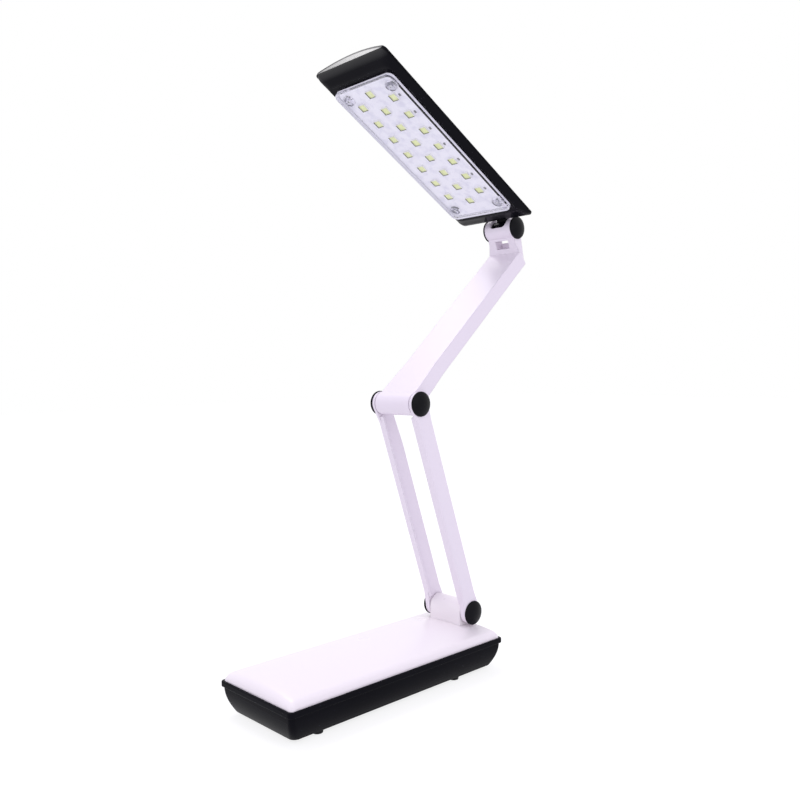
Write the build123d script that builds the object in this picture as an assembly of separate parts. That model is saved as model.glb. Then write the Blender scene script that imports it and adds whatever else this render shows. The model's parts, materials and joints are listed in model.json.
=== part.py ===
"""Folding desk lamp: a tub-shaped base, two hinged arms and a flat LED head.

Frame: X along the base towards its hinge end, Y across it along the hinge pins,
Z up, origin on the desk under the middle of the whole lamp's box. Drawn from the
middle of the base and moved into the frame at the end. Millimetres throughout.
"""
import os
from math import asin, cos, degrees, radians, sin, sqrt

from build123d import *

os.makedirs("parts", exist_ok=True)

# Stance at rest: each piece's angle from +X, turned towards +Z
lower_arm_angle = 107.8
upper_arm_angle = 41.6
head_angle = 149.1

# Base tub
base_length = 190.0
base_width = 77.0
rim_corner = 3.2
rim_band = 3.7
rim_overhang = 1.2
rim_wall = 1.6
rim_round = 0.7
tub_depth = 19.7
tub_taper = 5.0
tub_floor_corner = 4.4
tub_wall = 2.0
tub_floor = 2.0
tub_section_count = 6
cover_ledge_drop = 3.0

# Feet
foot_height = 2.8
foot_radius = 4.0
foot_flare = 0.6
foot_seat = 1.0
foot_free_inset = 28.0
foot_hinge_inset = 41.0
foot_side_inset = 11.5

# Base cover
cover_crown = 8.5
cover_shoulder = 4.6
cover_side_round = 5.0
cover_end_round = 11.0
cover_end_crown = 0.6
cover_section_count = 5
cover_trim = 0.05
cover_wall = 2.2
cover_clearance = 0.15

# Screws that hold the base cover from below
post_end_inset = 14.0
post_side_inset = 13.0
post_radius = 4.0
post_wall_top = 3.0
screw_shank = 1.4
screw_head = 2.7
screw_head_height = 1.8
screw_clearance = 0.3
thread_clearance = 0.04
screw_bite = 7.0

# Battery and board inside the base
battery_length = 92.0
battery_width = 46.0
battery_height = 14.0
battery_round = 3.0
battery_free_inset = 25.0
cradle_wall = 1.8
cradle_height = 6.0
cradle_gap = 0.2
board_length = 38.0
board_width = 42.0
board_thickness = 1.6
board_corner = 1.0
board_standoff = 1.6
board_hinge_inset = 12.0
board_post = 2.2
board_post_inset = 4.0

# Power button, its switch and the charging inlet, in the hinge-end wall
control_height = 12.2
button_side = 12.0
button_width = 9.0
button_height = 5.0
button_corner = 1.6
button_round = 0.6
button_proud = 1.2
button_gap = 0.35
button_flange = 1.6
button_flange_thickness = 1.2
button_collar = 1.6
button_collar_reach = 5.5
button_stem = 1.5
button_travel = 1.0
switch_length = 8.0
switch_width = 9.0
switch_spare = 0.5
inlet_side = 14.0
inlet_radius = 4.0
inlet_bore = 2.8
inlet_length = 12.0
inlet_depth = 9.0
inlet_pin = 0.9

# Hinges: one size of pin, cap and friction washer serves all three
pin_radius = 2.5
pin_fit = 0.02
pin_running = 0.06
knuckle_radius = 8.2
cap_radius = 8.7
cap_thickness = 3.2
cap_dome = 2.3
cap_round = 0.6
cap_socket = 1.4
cap_room = 0.5
washer_radius = 5.6
washer_thickness = 0.6
washer_running = 0.1

# Base hinge block
hinge_setback = 12.5
hinge_rise = 17.2
block_width = 30.4
block_foot = 10.0

# Lower arm
lower_arm_length = 163.5
lower_arm_front = 5.9
lower_arm_back = 6.9
rail_thickness = 4.8
rail_ear_taper = 12.0
rail_waist = 2.0
rail_edge = 0.8
lip_reach = 1.5
lip_thickness = 1.4
lip_base_stop = 9.0
lip_elbow_stop = 8.2

# Wire groove in the back of one rail and the strip that closes it
strip_thickness = 1.5
strip_lip = 0.4
strip_base_stop = 16.0
strip_elbow_stop = 38.0
strip_gap = 0.2
groove_depth = 4.0
groove_ledge = 0.4
lead_radius = 0.9

# Upper arm, which folds in between the rails
elbow_barrel_width = 34.0
nest_clearance = 0.7
flare_start = 12.0
flare_end = 34.0
upper_arm_front = 7.0
upper_arm_back = 4.2
knee_setback = 12.5
knee_slope = 1.5
neck_reach = 174.5
neck_rise = 21.6
neck_angle = 63.0
neck_front_offset = 5.6
neck_back_offset = 3.7
fork_width = 26.0
fork_relief = 0.4
slot_front_angle = 133.0
slot_back_angle = -14.0
slot_corner = 4.0
shell_wall = 2.2
shell_start = 15.0
shell_end_setback = 14.0
back_plate = 1.6
back_plate_ledge = 1.2
back_plate_gap = 0.2
back_screw_inset = 12.0
back_post_radius = 3.2
window_width = 12.6
window_height = 6.4
window_drop = 11.4
window_back = 1.6
window_sight = 2.6

# Head housing
head_start = 10.6
head_length = 173.4
head_width = 70.9
head_rim_level = 2.1
head_rim_band = 1.0
head_rim_overhang = 0.7
head_rim_corner = 3.0
head_depth = 4.7
head_side_taper = 4.3
head_end_taper = 12.0
head_floor_corner = 6.0
head_wall = 1.8
head_section_count = 5
head_arch = 5.5
head_end_wall = 2.2
head_knuckle_width = 14.8
head_knuckle_radius = 6.4
head_bridge_width = 10.8
head_bridge_angle = 45.5
head_bridge_back_angle = 80.0
head_bridge_reach = 9.0
head_bridge_low = 4.4
head_bridge_high = 7.2

# Head cover
head_cover_wall = 1.8
head_cover_edge = 3.6
head_cover_gap = 0.2
head_cover_tab = 6.0
head_cover_tab_depth = 1.8
head_cover_tab_inset = 1.4

# Lens, LED board and what is on it
lens_length = 142.2
lens_width = 58.0
lens_corner = 5.0
lens_height = 3.2
lens_wall = 1.6
lens_face = 2.0
lens_edge = 0.5
lens_post_radius = 4.0
lens_post_inset_long = 9.3
lens_post_inset_side = 7.7
lens_screw_shank = 1.1
lens_screw_head = 2.1
lens_screw_head_height = 1.0
lens_screw_spare = 0.3
led_board_thickness = 1.2
led_board_gap = 0.3
led_board_recess = 0.5
led_ledge = 2.4
led_ledge_thickness = 1.2
led_frame_wall = 1.4
led_size = 5.0
led_height = 1.3
led_window = 4.0
led_window_corner = 0.5
led_window_depth = 0.5
led_pitch = 16.45
led_column = 15.5
led_shift = 3.4
led_middle_count = 8
led_side_count = 7
resistor_length = 2.0
resistor_width = 1.25
resistor_height = 0.5
resistor_offset = 5.4

# Levels and pivots worked out from the sizes above
rim_top = foot_height + tub_depth
rim_bottom = rim_top - rim_band
ledge_level = rim_top - cover_ledge_drop
crown_top = rim_top + cover_crown
inside_floor = foot_height + tub_floor
base_pivot = (base_length / 2 - hinge_setback, rim_top + hinge_rise)


def turned(origin, angle, along, across):
    """Point at a distance along a direction in XZ and across it, to its left."""
    c = cos(radians(angle))
    s = sin(radians(angle))
    return (origin[0] + along * c - across * s, origin[1] + along * s + across * c)


elbow_pivot = turned(base_pivot, lower_arm_angle, lower_arm_length, 0)
head_pivot = turned(elbow_pivot, upper_arm_angle, neck_reach, neck_rise)


def swing(origin, angle):
    """Place a piece drawn along +X from a hinge at its angle."""
    return Pos(origin[0], 0, origin[1]) * Rot(0, -angle, 0)


lower_place = swing(base_pivot, lower_arm_angle)
upper_place = swing(elbow_pivot, upper_arm_angle)
head_place = swing(head_pivot, head_angle)


def slab(profile, low, high):
    """Thickness of an XZ profile between two places across the lamp."""
    return Pos(0, (low + high) / 2, 0) * extrude(Plane.XZ * profile, (high - low) / 2, both=True)


def rod(radius, low, high):
    """Round bar along the hinge direction."""
    return Pos(0, (low + high) / 2, 0) * Rot(90, 0, 0) * Cylinder(radius, high - low)


def both_sides(piece):
    """A piece and its mirror image across the lamp's middle plane."""
    return piece + mirror(piece, Plane.XZ)


def block(x_low, x_high, y_low, y_high, z_low, z_high):
    """Box between limits."""
    centre = Pos((x_low + x_high) / 2, (y_low + y_high) / 2, (z_low + z_high) / 2)
    return centre * Box(x_high - x_low, y_high - y_low, z_high - z_low)


def plate(length, width, corner, low, high):
    """Rounded plate between two levels."""
    return Pos(0, 0, low) * extrude(RectangleRounded(length, width, corner), high - low)


def bowl(outline, top, depth, count):
    """Loft whose outline closes in ever faster from the top to the floor."""
    layers = []
    for step in range(count):
        down = step / (count - 1)
        length, width, corner = outline(down * down)
        layers.append(Pos(0, 0, top - depth * down) * RectangleRounded(length, width, corner))
    return loft(layers)


def hinge_caps(outer_face):
    """Domed caps over both ends of a hinge, each with a socket for the pin."""
    ball = (cap_radius * cap_radius + cap_dome * cap_dome) / (2 * cap_dome)
    half_turn = asin(cap_radius / ball) / 2
    rim = (cap_radius, cap_thickness - cap_dome)
    top = (0, cap_thickness)
    between = (ball * sin(half_turn), cap_thickness - ball * (1 - cos(half_turn)))
    half_cap = make_face(Polyline(top, (0, 0), (cap_radius, 0), rim) + ThreePointArc(rim, between, top))
    half_cap = fillet(half_cap.vertices().group_by(Axis.X)[-1].sort_by(Axis.Y)[-1], cap_round)
    cap = Pos(0, outer_face, 0) * revolve(half_cap, Axis.Y)
    cap -= rod(pin_radius + pin_fit, outer_face, outer_face + cap_socket)
    return both_sides(cap)


def hinge_pin(outer_face):
    """Pin that reaches into both caps."""
    return rod(pin_radius, -outer_face - cap_socket, outer_face + cap_socket)


def hinge_washers(inner_face):
    """Friction washers that lie on the inner faces of the ears."""
    ring = rod(washer_radius, inner_face - washer_thickness, inner_face)
    ring -= rod(pin_radius + pin_fit, inner_face - washer_thickness, inner_face)
    return both_sides(ring)


# Base tub: bowl-sided shell under a band of rim
def tub_outline(share):
    inset = rim_overhang + tub_taper * share
    corner = rim_corner + (tub_floor_corner - rim_corner) * share
    return base_length - 2 * inset, base_width - 2 * inset, corner


def tub_inner_outline(share):
    length, width, corner = tub_outline(share)
    return length - 2 * tub_wall, width - 2 * tub_wall, corner - tub_wall / 2


wall_depth = rim_bottom - foot_height
rim = plate(base_length, base_width, rim_corner, rim_bottom, rim_top)
rim = fillet(rim.edges().group_by(Axis.Z)[-1] + rim.edges().group_by(Axis.Z)[0], rim_round)
opening_length = base_length - 2 * rim_wall
opening_width = base_width - 2 * rim_wall
opening_corner = rim_corner - rim_wall / 2
base_tub = bowl(tub_outline, rim_bottom, wall_depth, tub_section_count) + rim
base_tub -= bowl(tub_inner_outline, rim_bottom, rim_bottom - inside_floor, tub_section_count)
throat_length, throat_width, throat_corner = tub_inner_outline(0)
base_tub -= plate(throat_length, throat_width, throat_corner, rim_bottom, ledge_level)
base_tub -= plate(opening_length, opening_width, opening_corner, ledge_level, rim_top)

post_x = base_length / 2 - post_end_inset
post_y = base_width / 2 - post_side_inset
post_places = [Pos(x, y, 0) for x in (-post_x, post_x) for y in (-post_y, post_y)]
post_top = ledge_level
head_seat = post_top - post_wall_top
for place in post_places:
    base_tub += place * Pos(0, 0, (foot_height + tub_floor / 2 + post_top) / 2) * Cylinder(
        post_radius, post_top - foot_height - tub_floor / 2
    )
for place in post_places:
    base_tub -= place * Pos(0, 0, rim_top / 2) * Cylinder(screw_shank + screw_clearance, rim_top)
    base_tub -= place * Pos(0, 0, head_seat / 2) * Cylinder(screw_head + screw_clearance, head_seat)

foot_free = foot_free_inset - base_length / 2
foot_hinge = base_length / 2 - foot_hinge_inset
foot_side = base_width / 2 - foot_side_inset
foot_places = [Pos(x, y, 0) for x in (foot_free, foot_hinge) for y in (-foot_side, foot_side)]
for place in foot_places:
    base_tub -= place * Pos(0, 0, foot_height + foot_seat / 2) * Cylinder(foot_radius, foot_seat)

# Cradle for the battery and posts for the board
cradle = plate(
    battery_length + 2 * (cradle_gap + cradle_wall),
    battery_width + 2 * (cradle_gap + cradle_wall),
    battery_round + cradle_wall,
    inside_floor - tub_floor / 2,
    inside_floor + cradle_height,
)
cradle -= plate(
    battery_length + 2 * cradle_gap,
    battery_width + 2 * cradle_gap,
    battery_round,
    inside_floor,
    inside_floor + cradle_height,
)
cradle -= block(-battery_length / 3, battery_length / 3, -base_width, base_width, inside_floor, rim_top)
battery_place = Pos(battery_free_inset + (battery_length - base_length) / 2, 0, 0)
base_tub += battery_place * cradle
board_level = inside_floor + board_standoff
board_centre = (base_length - board_length) / 2 - board_hinge_inset
board_posts = [
    Pos(board_centre + x, y, 0)
    for x in (board_post_inset - board_length / 2, board_length / 2 - board_post_inset)
    for y in (board_post_inset - board_width / 2, board_width / 2 - board_post_inset)
]
for place in board_posts:
    base_tub += place * Pos(0, 0, (foot_height + tub_floor / 2 + board_level) / 2) * Cylinder(
        board_post, board_level - foot_height - tub_floor / 2
    )

# Openings in the hinge-end wall for the button and the inlet
control_share = ((rim_bottom - control_height) / wall_depth) ** 2
wall_face = tub_outline(control_share)[0] / 2
collar_face = wall_face - button_collar_reach
button_place = Pos(0, button_side, control_height)
inlet_place = Pos(0, -inlet_side, control_height)


def along_x(width, height, corner, low, high):
    """Rounded bar along X, centred on the X axis."""
    return Plane.YZ.offset(low) * extrude(RectangleRounded(width, height, corner), high - low)


def round_along_x(radius, low, high):
    """Round bar along X, centred on the X axis."""
    return Plane.YZ.offset(low) * extrude(Circle(radius), high - low)


hole_width = button_width + 2 * button_gap
hole_height = button_height + 2 * button_gap
hole_corner = button_corner + button_gap
collar = along_x(
    hole_width + 2 * button_collar,
    hole_height + 2 * button_collar,
    hole_corner + button_collar,
    collar_face,
    wall_face - tub_wall / 2,
)
base_tub += button_place * collar
base_tub -= button_place * along_x(hole_width, hole_height, hole_corner, collar_face, base_length / 2)
base_tub -= inlet_place * round_along_x(inlet_radius, wall_face - inlet_length, base_length / 2)

# Rubber feet: stubs pressed into the floor
foot = Pos(0, 0, foot_height / 2) * Cone(foot_radius - foot_flare, foot_radius, foot_height)
foot += Pos(0, 0, foot_height + foot_seat / 2) * Cylinder(foot_radius, foot_seat)
feet = Part() + [place * foot for place in foot_places]

# Base cover: crowned lid with rolled edges and the hinge block in one moulding
cover_length = opening_length - 2 * cover_clearance
cover_width = opening_width - 2 * cover_clearance


def lid_profile(half_width, shoulder, rise, corner, foot_level):
    """Section across the lid: a crown between rolled shoulders."""
    crown = ThreePointArc((-half_width, shoulder), (0, shoulder + rise), (half_width, shoulder))
    sides = Polyline(
        (half_width, shoulder), (half_width, foot_level), (-half_width, foot_level), (-half_width, shoulder)
    )
    profile = make_face(crown + sides)
    return fillet(profile.vertices().group_by(Axis.Y)[-1], corner)


full_rise = cover_crown - cover_shoulder
shoulder_level = rim_top + cover_shoulder
lid_slope = cover_side_round + cover_end_round


def lid_layer(inset):
    """Section at a distance from the lid's end, where it rolls down and its crown dies away."""
    roll = max(cover_side_round - inset, 0)
    drop = cover_side_round - sqrt(cover_side_round**2 - roll**2)
    fade = max(1 - inset / lid_slope, 0)
    rise = cover_end_crown + (full_rise - cover_end_crown) * sqrt(1 - fade**2)
    foot_level = ledge_level - 2 * cover_side_round
    half_width = cover_width / 2 + cover_trim
    return lid_profile(half_width, shoulder_level - drop, rise, cover_side_round, foot_level)


def lid_hull():
    """Whole lid: a straight middle and two lofted ends, trimmed to the opening's outline."""
    steps = range(cover_section_count)
    insets = [cover_side_round * (1 - cos(radians(90 * step / cover_section_count))) for step in steps]
    insets += [cover_side_round + cover_end_round * step / (cover_section_count - 1) for step in steps]
    insets += [1.15 * lid_slope, 1.3 * lid_slope]
    half_length = cover_length / 2 + cover_trim
    lid_end = loft([Plane.YZ.offset(inset - half_length) * lid_layer(inset) for inset in insets])
    middle = Plane.YZ * extrude(lid_layer(insets[-1]), half_length - insets[-1], both=True)
    outline = plate(cover_length, cover_width, opening_corner, ledge_level, crown_top + cover_crown)
    return (middle + lid_end + mirror(lid_end, Plane.YZ)) & outline


def lid_hollow():
    """Space under the lid, with rounded ends."""
    half_width = cover_width / 2 - cover_wall
    half_length = cover_length / 2 - cover_wall
    top = crown_top - cover_wall
    across = lid_profile(
        half_width, shoulder_level - cover_wall, full_rise, cover_side_round - cover_wall, ledge_level
    )
    along = Pos(0, (ledge_level + top) / 2) * Rectangle(2 * half_length, top - ledge_level)
    along = fillet(along.vertices().group_by(Axis.Y)[-1], cover_end_round - cover_wall)
    return (Plane.YZ * extrude(across, half_length, both=True)) & slab(along, -half_width, half_width)


block_half = block_width / 2
knuckle = rod(knuckle_radius, -block_half, block_half)
pedestal = block(
    -knuckle_radius, knuckle_radius, -block_half, block_half, -hinge_rise + cover_shoulder - block_foot / 2, 0
)
base_block = Pos(base_pivot[0], 0, base_pivot[1]) * (knuckle + pedestal)
hull = lid_hull()
base_cover = hull - lid_hollow()
thread_top = post_top + screw_bite
for place in post_places:
    boss = place * Pos(0, 0, (post_top + crown_top) / 2) * Cylinder(post_radius, crown_top - post_top)
    base_cover += boss & hull
for place in post_places:
    base_cover -= place * Pos(0, 0, (post_top + thread_top) / 2) * Cylinder(
        screw_shank + thread_clearance, thread_top - post_top
    )
base_cover += base_block
base_bore = rod(pin_radius + pin_running, -block_half, block_half)
base_cover -= Pos(base_pivot[0], 0, base_pivot[1]) * base_bore

# Screws up through the posts
shank_top = thread_top - screw_clearance
base_screw = Pos(0, 0, (head_seat + shank_top) / 2) * Cylinder(screw_shank, shank_top - head_seat)
base_screw += Pos(0, 0, head_seat - screw_head_height / 2) * Cylinder(screw_head, screw_head_height)
slot = Pos(0, 0, head_seat - screw_head_height) * Box(screw_head * 1.3, screw_head * 0.25, screw_head_height)
base_screw -= slot
base_screw -= Rot(0, 0, 90) * slot
base_screws = Part() + [place * base_screw for place in post_places]

# Battery in its cradle and board on its posts
battery = plate(battery_length, battery_width, battery_round, inside_floor, inside_floor + battery_height)
battery = battery_place * battery
board_top = board_level + board_thickness
control_board = Pos(board_centre, 0, 0) * plate(
    board_length, board_width, board_corner, board_level, board_top
)

# Push button: cap through the wall, flange behind the collar, stem in the switch
flange_front = collar_face - button_gap
flange_back = flange_front - button_flange_thickness
switch_front = flange_back - button_travel - switch_spare
switch_back = switch_front - switch_length
stem_back = switch_back + switch_length / 2
button = along_x(button_width, button_height, button_corner, flange_back, wall_face + button_proud)
button = fillet(button.faces().sort_by(Axis.X)[-1].edges(), button_round)
button += along_x(
    button_width + 2 * button_flange,
    button_height + 2 * button_flange,
    button_corner + button_flange,
    flange_back,
    flange_front,
)
button += round_along_x(button_stem, stem_back, flange_back)
power_button = button_place * button
switch_top = control_height + button_height / 2
power_switch = block(
    switch_back,
    switch_front,
    button_side - switch_width / 2,
    button_side + switch_width / 2,
    board_top,
    switch_top,
)
stem_bore = round_along_x(button_stem + pin_running, stem_back - button_travel - switch_spare, switch_front)
power_switch -= button_place * stem_bore

# Charging inlet: round socket with its centre pin
inlet_back = wall_face - inlet_length
inlet = round_along_x(inlet_radius, inlet_back, wall_face - tub_wall / 4)
inlet -= round_along_x(inlet_bore, wall_face - inlet_depth, wall_face)
inlet += round_along_x(inlet_pin, wall_face - inlet_depth, wall_face - tub_wall)
power_inlet = inlet_place * inlet
power_inlet += block(
    inlet_back,
    wall_face - inlet_depth,
    -inlet_side - inlet_bore,
    -inlet_side + inlet_bore,
    board_top,
    control_height,
)

# Lower arm: two rails on common pins, each with a lip along its inner front edge
rail_inner = block_half + washer_running + washer_thickness
rail_outer = rail_inner + rail_thickness
barrel_half = elbow_barrel_width / 2
elbow_ear_inner = barrel_half + washer_running + washer_thickness
arm_depth = lower_arm_front + lower_arm_back
arm_middle = (lower_arm_front - lower_arm_back) / 2
waist = Pos(rail_ear_taper, arm_middle) * Rectangle(rail_waist, arm_depth)
far_waist = Pos(lower_arm_length - rail_ear_taper, arm_middle) * Rectangle(rail_waist, arm_depth)
ear = Circle(knuckle_radius)
far_ear = Pos(lower_arm_length, 0) * Circle(knuckle_radius)
rail_profile = make_hull(ear.edges() + waist.edges())
rail_profile += make_hull(far_ear.edges() + far_waist.edges())
rail_profile += Pos(lower_arm_length / 2, arm_middle) * Rectangle(
    lower_arm_length - 2 * rail_ear_taper, arm_depth
)
rail = slab(rail_profile, rail_inner, rail_outer)
rail = chamfer(rail.faces().sort_by(Axis.Y)[-1].edges(), rail_edge)
ear_end = lower_arm_length + 2 * knuckle_radius
ear_room = make_face(
    Polyline(
        (lower_arm_length - flare_end, rail_inner),
        (lower_arm_length - flare_start, elbow_ear_inner),
        (ear_end, elbow_ear_inner),
        (ear_end, 0),
        (lower_arm_length - flare_end, 0),
        close=True,
    )
)
rail -= extrude(ear_room, arm_depth, both=True)
rail += block(
    lip_base_stop,
    lower_arm_length - lip_elbow_stop,
    rail_inner - lip_reach,
    rail_inner + rail_thickness / 2,
    lower_arm_front - lip_thickness,
    lower_arm_front,
)
at_elbow = Pos(lower_arm_length, 0, 0)
pin_hole = rod(pin_radius + pin_fit, -rail_outer, rail_outer)
rail -= pin_hole
rail -= at_elbow * pin_hole
near_rail = mirror(rail, Plane.XZ)

# Wire groove along the back of the far rail, stepped so that the strip lies on ledges
strip_start = strip_base_stop
strip_end = lower_arm_length - strip_elbow_stop
strip_inner = rail_inner + strip_lip
strip_outer = rail_outer - rail_edge - strip_lip
strip_seat = strip_thickness - lower_arm_back
groove_floor = strip_seat + groove_depth
far_rail = rail - block(strip_start, strip_end, strip_inner, strip_outer, -lower_arm_back, strip_seat)
far_rail -= block(
    strip_start + groove_ledge,
    strip_end - groove_ledge,
    strip_inner + groove_ledge,
    strip_outer - groove_ledge,
    strip_seat,
    groove_floor,
)
wire_strip = block(
    strip_start + strip_gap,
    strip_end - strip_gap,
    strip_inner + strip_gap,
    strip_outer - strip_gap,
    -lower_arm_back,
    strip_seat,
)
lead_run = Pos((strip_start + strip_end) / 2, (strip_inner + strip_outer) / 2, groove_floor - lead_radius)
arm_lead = lead_run * Rot(0, 90, 0) * Cylinder(lead_radius, strip_end - strip_start - 4 * groove_ledge)

# Upper arm: barrel at the elbow, shell that nests between the rails, knee and forked neck
arm_half = rail_inner - nest_clearance
fork_half = fork_width / 2
knee_reach = neck_reach - knee_setback
shell_end = knee_reach - shell_end_setback
knee_front = (knee_reach, upper_arm_front)
knee_back = (knee_reach + knee_slope, -upper_arm_back)
neck_end = (neck_reach, neck_rise)
neck_front = turned(neck_end, neck_angle + 90, neck_front_offset, 0)
neck_back = turned(neck_end, neck_angle - 90, neck_back_offset, 0)
arm_side = Pos(neck_reach, neck_rise) * Circle(knuckle_radius)
arm_side += make_face(Polyline(knee_front, neck_front, neck_back, knee_back, close=True))
arm_side += make_face(
    Polyline((0, upper_arm_front), knee_front, knee_back, (0, -upper_arm_back), close=True)
)
plan_edge = [
    (0, barrel_half),
    (flare_start, barrel_half),
    (flare_end, arm_half),
    (knee_reach, arm_half),
    (neck_reach - cap_radius - cap_room, fork_half),
    (neck_reach + knuckle_radius, fork_half),
]
other_edge = [(x, -y) for x, y in reversed(plan_edge)]
plan_shape = make_face(Polyline(*plan_edge, *other_edge, close=True))
arm_height = neck_rise + 2 * knuckle_radius
upper_arm = slab(arm_side, -barrel_half, barrel_half) & extrude(plan_shape, arm_height, both=True)
upper_arm += rod(knuckle_radius, -barrel_half, barrel_half)

# Hollow from the back, with a ledge for the closing plate and posts for its screws
plate_seat = back_plate - upper_arm_back
hollow_top = upper_arm_front - shell_wall
pocket_half = arm_half - shell_wall
upper_arm -= block(shell_start, shell_end, -pocket_half, pocket_half, -upper_arm_back, plate_seat)
narrow_half = pocket_half - back_plate_ledge
upper_arm -= block(
    shell_start + back_plate_ledge,
    shell_end - back_plate_ledge,
    -narrow_half,
    narrow_half,
    plate_seat,
    hollow_top,
)
back_posts = [Pos(shell_start + back_screw_inset, 0, 0), Pos(shell_end - back_screw_inset, 0, 0)]
for place in back_posts:
    post = Cylinder(back_post_radius, upper_arm_front - plate_seat - shell_wall / 2)
    upper_arm += place * Pos(0, 0, (plate_seat + upper_arm_front - shell_wall / 2) / 2) * post
for place in back_posts:
    pilot = Cylinder(lens_screw_shank + thread_clearance, screw_bite)
    upper_arm -= place * Pos(0, 0, plate_seat + screw_bite / 2) * pilot

# Round recess for the head's knuckle, its slot with round corners, a window and the pin bores
head_knuckle_half = head_knuckle_width / 2
fork_inner = head_knuckle_half + washer_running + washer_thickness
at_neck = Pos(neck_reach, 0, neck_rise)
slot_reach = 3 * knuckle_radius


def wedge(low, high, half):
    """Sector round a hinge between two directions and between limits across it."""
    edge = [turned((0, 0), angle, slot_reach, 0) for angle in (low, (low + high) / 2, high)]
    return slab(make_face(Polyline((0, 0), *edge, close=True)), -half, half)


corner_turn = slot_front_angle - degrees(asin(slot_corner / knuckle_radius))
corner_side = fork_inner - slot_corner
upper_arm -= at_neck * rod(head_knuckle_radius + fork_relief, -fork_inner, fork_inner)
upper_arm -= at_neck * wedge(slot_back_angle, corner_turn, fork_inner)
upper_arm -= at_neck * wedge(slot_back_angle, slot_front_angle, corner_side)
for side in (-corner_side, corner_side):
    corner = Pos(0, side, slot_reach / 2) * Cylinder(slot_corner, slot_reach)
    upper_arm -= at_neck * Rot(0, 90 - corner_turn, 0) * corner
window_centre = turned(neck_end, neck_angle, -window_drop, 0)
window_place = Pos(window_centre[0], 0, window_centre[1]) * Rot(0, 90 - neck_angle, 0)
half_window = window_width / 2
window_top = window_height / 2
pocket_back = neck_back_offset - window_back
upper_arm -= window_place * block(
    -slot_reach, pocket_back, -half_window, half_window, -window_top, window_top
)
upper_arm -= window_place * block(
    pocket_back, slot_reach, -half_window, half_window, window_top - window_sight, window_top
)
upper_arm -= rod(pin_radius + pin_running, -barrel_half, barrel_half)
upper_arm -= at_neck * rod(pin_radius + pin_fit, -fork_half, fork_half)

# Plate that closes the back of the upper arm, and its two screws
arm_plate = block(
    shell_start + back_plate_gap,
    shell_end - back_plate_gap,
    back_plate_gap - pocket_half,
    pocket_half - back_plate_gap,
    -upper_arm_back,
    plate_seat,
)
plate_screws = Part()
for place in back_posts:
    sink = Pos(0, 0, -upper_arm_back + lens_screw_head_height / 2)
    arm_plate -= place * sink * Cylinder(lens_screw_head + thread_clearance, lens_screw_head_height)
    arm_plate -= place * Cylinder(lens_screw_shank + thread_clearance, arm_height)
    shank_length = back_plate + screw_bite - lens_screw_head_height - screw_clearance
    shank = Cylinder(lens_screw_shank, shank_length)
    shank = Pos(0, 0, -upper_arm_back + lens_screw_head_height + shank_length / 2) * shank
    plate_screws += place * (shank + sink * Cylinder(lens_screw_head, lens_screw_head_height))

# Head housing: shallow bowl open towards its lens, arched end walls above the rim
head_middle = Pos(head_start + head_length / 2, 0, 0)
rim_plane = -head_rim_level
seat_plane = rim_plane + head_depth
arch_top = rim_plane - head_arch


def head_outline(share):
    length = head_length - 2 * (head_rim_overhang + head_end_taper * share)
    width = head_width - 2 * (head_rim_overhang + head_side_taper * share)
    return length, width, head_rim_corner + (head_floor_corner - head_rim_corner) * share


def head_inner_outline(share):
    length, width, corner = head_outline(share)
    return length - 2 * head_wall, width - 2 * head_wall, corner - head_wall / 2


def arch_bar(half_chord, drop, low, high):
    """Bar along the head under an arc, lowered by a drop towards the lens."""
    arc = ThreePointArc(
        (-half_chord, rim_plane), (0, arch_top + drop), (half_chord, rim_plane)
    )
    segment = make_face(arc + Line((half_chord, rim_plane), (-half_chord, rim_plane)))
    return Plane.YZ.offset(low) * extrude(segment, high - low)


half_head = head_length / 2
half_chord = head_width / 2
band_plane = rim_plane + head_rim_band
deep = seat_plane - band_plane
turn_over = Rot(180, 0, 0)
head_bowl = turn_over * bowl(head_outline, -band_plane, deep, head_section_count)
head_hollow = turn_over * bowl(head_inner_outline, -band_plane, deep - head_wall, head_section_count)
band = plate(head_length, head_width, head_rim_corner, rim_plane, band_plane)
throat = head_inner_outline(0)
housing = head_bowl + band - head_hollow
housing -= plate(throat[0], throat[1], throat[2], rim_plane, band_plane)
end_arch = arch_bar(half_chord, 0, -half_head, half_head)
end_arch -= arch_bar(half_chord, 0, head_end_wall - half_head, half_head - head_end_wall)
end_outline = plate(head_length, head_width, head_rim_corner, arch_top, rim_plane)
housing += end_arch & end_outline

# Frame round the lens opening, with the ledge that the LED board lies on
opening_long = lens_length - 2 * lens_wall
opening_side = lens_width - 2 * lens_wall
lens_inner_corner = lens_corner - lens_wall
board_back = seat_plane - led_board_recess - led_board_thickness
ledge_back = board_back - led_ledge_thickness
frame = plate(
    opening_long + 2 * led_frame_wall,
    opening_side + 2 * led_frame_wall,
    lens_inner_corner + led_frame_wall,
    ledge_back,
    seat_plane,
)
housing += frame
housing -= plate(opening_long, opening_side, lens_inner_corner, board_back, seat_plane)
ledge_hole = plate(
    opening_long - 2 * led_ledge, opening_side - 2 * led_ledge, lens_inner_corner, ledge_back, board_back
)
lens_posts = [
    Pos(x, y, 0)
    for x in (lens_post_inset_long - lens_length / 2, lens_length / 2 - lens_post_inset_long)
    for y in (lens_post_inset_side - lens_width / 2, lens_width / 2 - lens_post_inset_side)
]
for place in lens_posts:
    pad = Cylinder(lens_post_radius + led_frame_wall, board_back - ledge_back)
    ledge_hole -= place * Pos(0, 0, (board_back + ledge_back) / 2) * pad
housing -= ledge_hole
for place in lens_posts:
    housing -= place * Cylinder(lens_screw_shank + thread_clearance, 4 * head_depth)

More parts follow.
